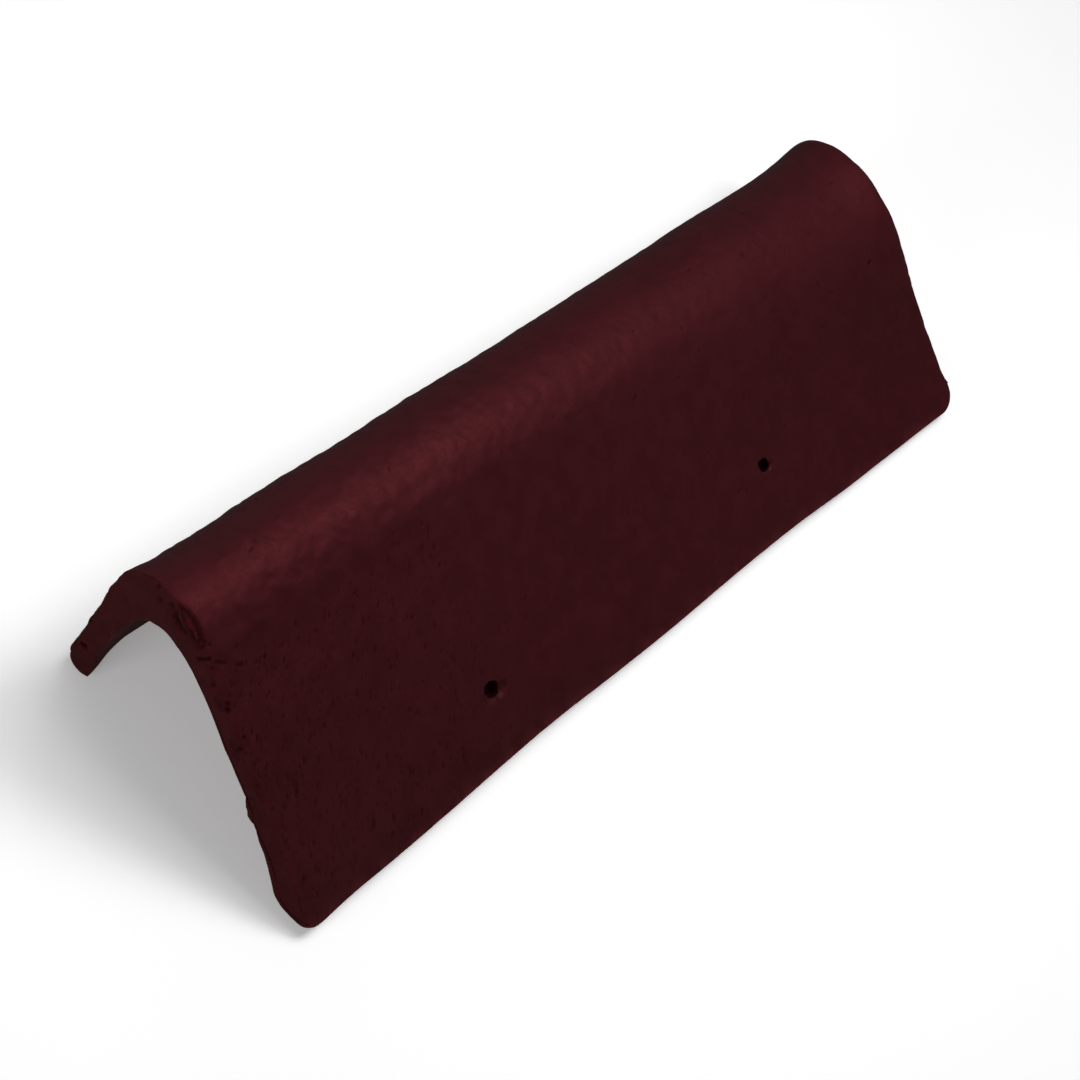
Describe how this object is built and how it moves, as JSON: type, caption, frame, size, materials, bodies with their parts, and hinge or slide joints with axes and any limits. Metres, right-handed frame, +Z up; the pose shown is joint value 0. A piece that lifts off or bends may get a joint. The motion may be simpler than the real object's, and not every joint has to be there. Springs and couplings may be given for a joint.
{
  "type": "verge tile",
  "caption": "Concrete verge tile: a tapered one-piece cap with a thick rounded ridge, a short steep flange and a long flange with nail holes.",
  "frame": {"origin": "centre of the bounding box's bottom, on the floor the tile stands on", "axes": "+X runs along the length from the large lower end to the small upper end, +Y points from the long flange to the short flange, +Z is up"},
  "size_m": [0.42, 0.1352, 0.0804],
  "materials": {
    "tile": "pressed concrete with a smooth, softly glossy dark wine-red slurry coat, with small pits and worn edges"
  },
  "bodies": {
    "root": {"verge_tile": "tile"}
  },
  "joints": []
}
